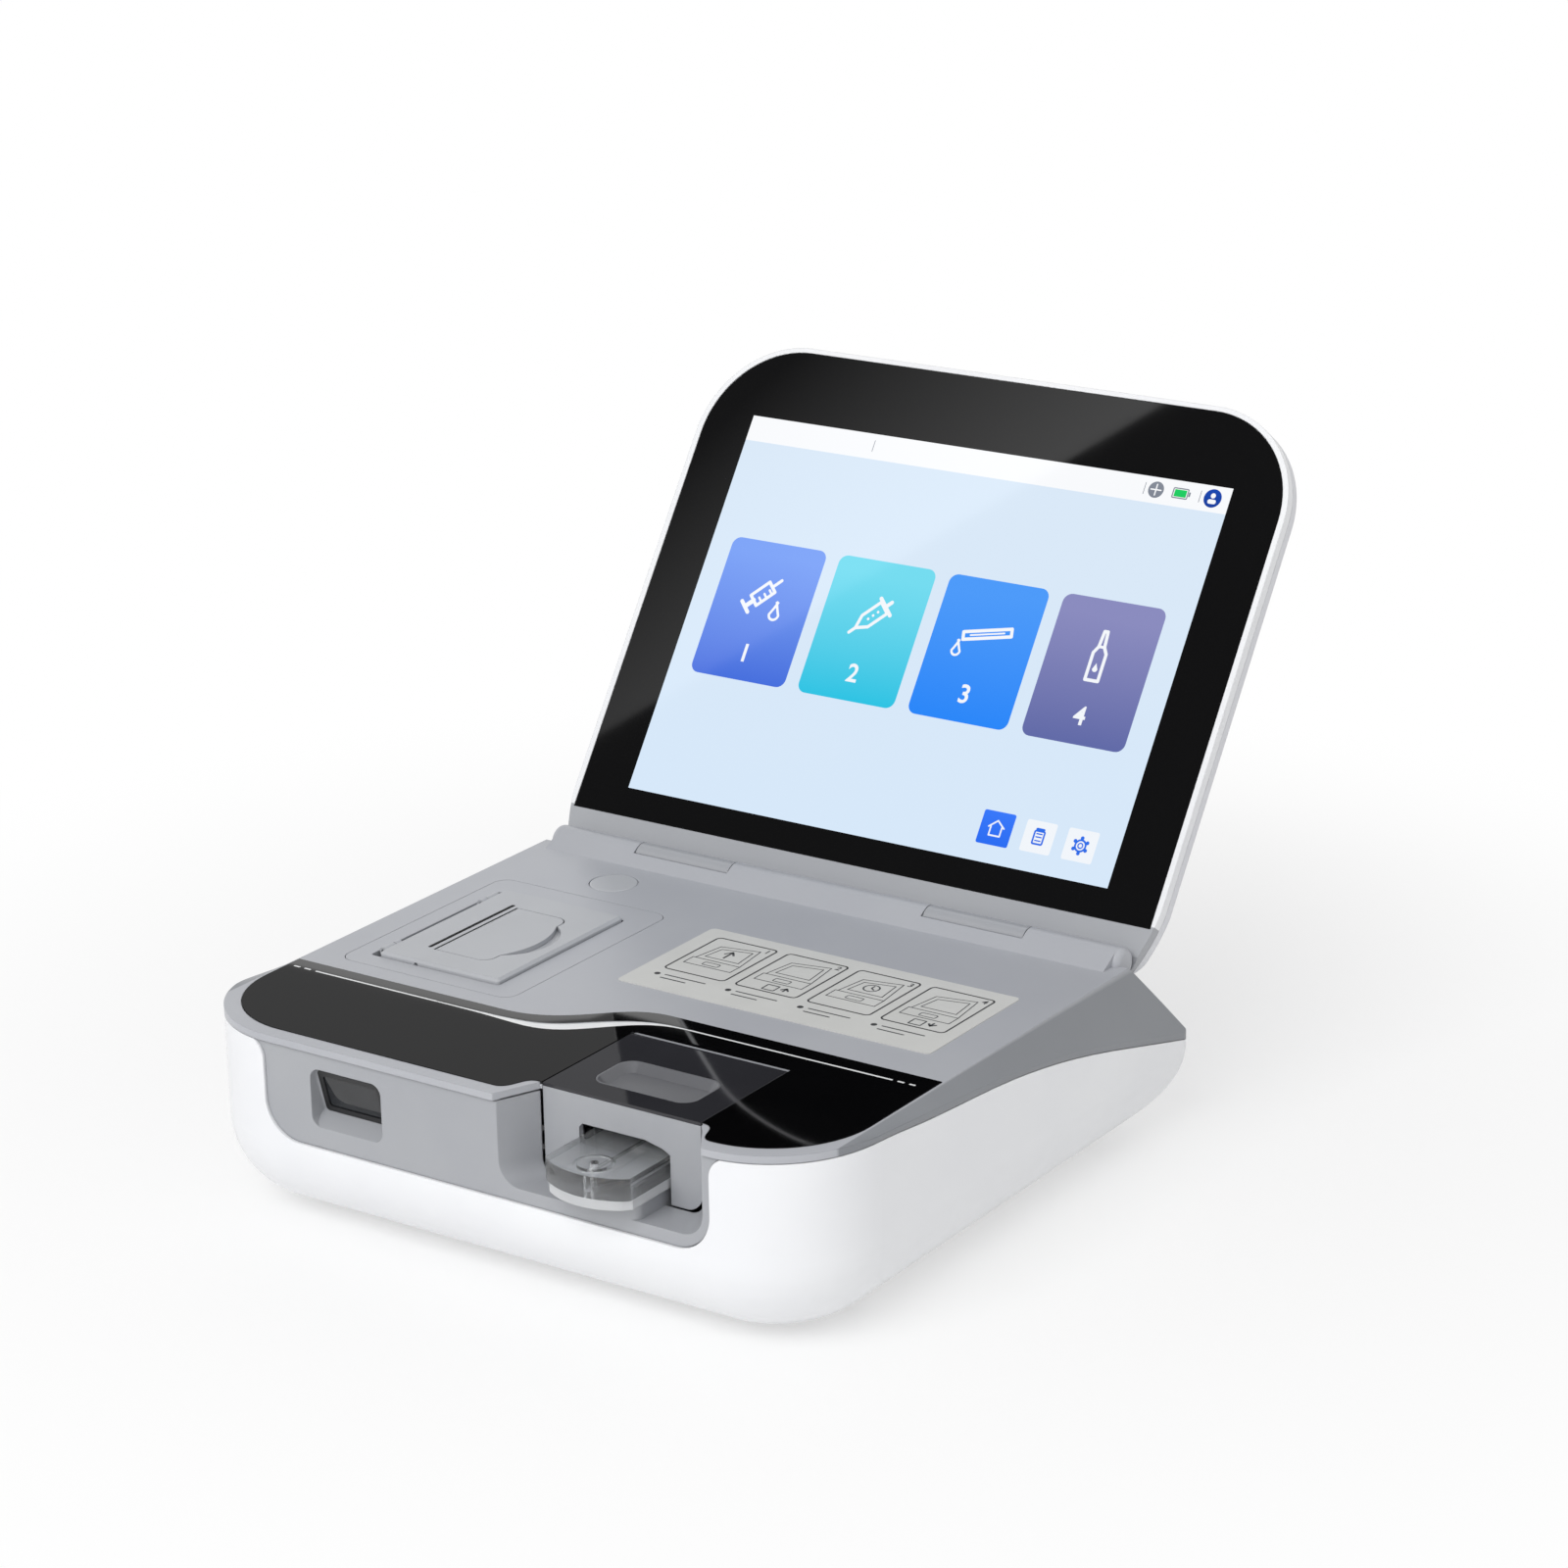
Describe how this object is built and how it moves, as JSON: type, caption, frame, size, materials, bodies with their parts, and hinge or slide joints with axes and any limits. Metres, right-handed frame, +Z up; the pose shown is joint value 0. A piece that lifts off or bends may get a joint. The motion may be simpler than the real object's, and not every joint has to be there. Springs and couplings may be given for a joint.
{
  "type": "blood gas analyzer",
  "caption": "Bench-top blood gas analyzer with fold-down touch screen, flip door over a test cartridge bay, paper printer and barcode window",
  "frame": {"origin": "centre of the plan of the whole object with its screen open, on the surface it stands on", "axes": "+Z up, -Y towards the user, +X to the right as the user faces the screen"},
  "size_m": [0.265, 0.3532, 0.2416],
  "materials": {
    "shell_white": "satin moulded ABS, white",
    "cover_grey": "fine textured moulded ABS, light grey",
    "bezel_grey": "fine textured moulded ABS, mid grey",
    "overlay_black": "polished acrylic, near black",
    "smoke_plate": "polished acrylic, smoked",
    "door_light": "moulded ABS, pale grey",
    "clear_plastic": "clear polycarbonate",
    "label_film": "printed polyester film",
    "cover_glass": "back-printed toughened glass, black border",
    "display": "liquid crystal panel, lit",
    "dark_glass": "dark red window",
    "black_plastic": "black moulded plastic",
    "steel": "turned steel",
    "zinc_steel": "zinc plated steel",
    "heater_alu": "milled aluminium",
    "gold_pins": "gold plated brass",
    "electrode": "printed electrode film",
    "lever_grey": "moulded ABS, grey",
    "platen_rubber": "moulded rubber on a steel shaft",
    "paper_white": "thermal paper",
    "card_brown": "wound cardboard tube",
    "gear_white": "acetal",
    "button_white": "moulded ABS",
    "board_green": "glass fibre circuit board",
    "chip_black": "moulded epoxy",
    "foot_rubber": "moulded rubber",
    "battery_blue": "shrink film over cells"
  },
  "bodies": {
    "base": {"lower_housing": "shell_white", "top_cover": "cover_grey", "front_bezel": "bezel_grey", "control_overlay": "overlay_black", "instruction_label": "label_film", "scanner_gasket": "black_plastic", "scanner_window": "dark_glass", "scanner_module": "black_plastic", "sample_door_pin": "steel", "cartridge_tray": "black_plastic", "heater_plate": "heater_alu", "contact_block": "black_plastic", "contact_pins": "gold_pins", "valve_solenoid": "zinc_steel", "printer_frame": "cover_grey", "printer_door_pins": "steel", "feed_motor": "zinc_steel", "print_head": "black_plastic", "paper_bucket": "black_plastic", "button_board": "board_green", "hinge_shafts": "steel", "main_board": "board_green", "board_components": "chip_black", "heat_spreader": "heater_alu", "power_socket": "black_plastic", "data_sockets": "zinc_steel", "network_socket": "zinc_steel", "battery_pack": "battery_blue", "battery_cover": "shell_white", "speaker": "black_plastic", "rubber_feet": "foot_rubber", "housing_screws": "zinc_steel"},
    "lid": {"lid_front_frame": "shell_white", "lid_rear_shell": "cover_grey", "cover_glass": "cover_glass", "display_panel": "display", "touch_board": "board_green", "lid_screws": "zinc_steel"},
    "sample_door": {"sample_door_shell": "door_light", "sample_door_plate": "smoke_plate"},
    "cartridge": {"cartridge_top": "clear_plastic", "cartridge_base": "clear_plastic", "electrode_strip": "electrode"},
    "valve_plunger": {"valve_plunger": "steel"},
    "printer_door": {"printer_door": "lever_grey", "lever_pin": "steel"},
    "printer_lever": {"printer_lever": "lever_grey"},
    "platen_roller": {"platen_roller": "platen_rubber"},
    "feed_pinion": {"feed_pinion": "gear_white"},
    "paper_roll": {"paper_roll": "paper_white", "paper_core": "card_brown"},
    "power_button": {"power_button": "button_white"}
  },
  "joints": [
    {"name": "lid_hinge", "type": "hinge", "parent": "base", "child": "lid", "pos_m": [0, 0.04451, 0.0721], "axis": [-1, 0, 0], "range_deg": [-125, 5]},
    {"name": "sample_door_hinge", "type": "hinge", "parent": "base", "child": "sample_door", "pos_m": [0.0468, -0.10008, 0.0695], "axis": [-1, 0, 0], "range_deg": [0, 80]},
    {"name": "cartridge_slide", "type": "slide", "parent": "base", "child": "cartridge", "axis": [0, -1, 0], "range_m": [0, 0.06]},
    {"name": "valve_plunger_slide", "type": "slide", "parent": "base", "child": "valve_plunger", "axis": [0, 0, 1], "range_m": [0, 0.002], "stiffness_N_per_m": 200, "springref_m": -0.002},
    {"name": "printer_door_hinge", "type": "hinge", "parent": "base", "child": "printer_door", "pos_m": [-0.1064, -0.05108, 0.0725], "axis": [0, -1, 0], "range_deg": [0, 80]},
    {"name": "printer_lever_hinge", "type": "hinge", "parent": "printer_door", "child": "printer_lever", "pos_m": [-0.0883, -0.05208, 0.0725], "axis": [0, -1, 0], "range_deg": [0, 30], "stiffness_Nm_per_rad": 0.02, "springref_deg": -5.73},
    {"name": "platen_spin", "type": "hinge", "parent": "printer_door", "child": "platen_roller", "pos_m": [-0.0873, -0.05078, 0.0635], "axis": [0, 1, 0], "continuous": true},
    {"name": "feed_pinion_spin", "type": "hinge", "parent": "base", "child": "feed_pinion", "pos_m": [-0.0903, -0.02089, 0.05412], "axis": [0, 1, 0], "continuous": true},
    {"name": "paper_roll_spin", "type": "hinge", "parent": "base", "child": "paper_roll", "pos_m": [-0.0675, -0.05078, 0.051], "axis": [0, 1, 0], "continuous": true},
    {"name": "power_button_press", "type": "slide", "parent": "base", "child": "power_button", "axis": [0, 0, -1], "range_m": [0, 0.0012], "stiffness_N_per_m": 1500}
  ],
  "couplings": [
    {"joint": "feed_pinion_spin", "follows": "platen_spin", "ratio": -1.4}
  ]
}
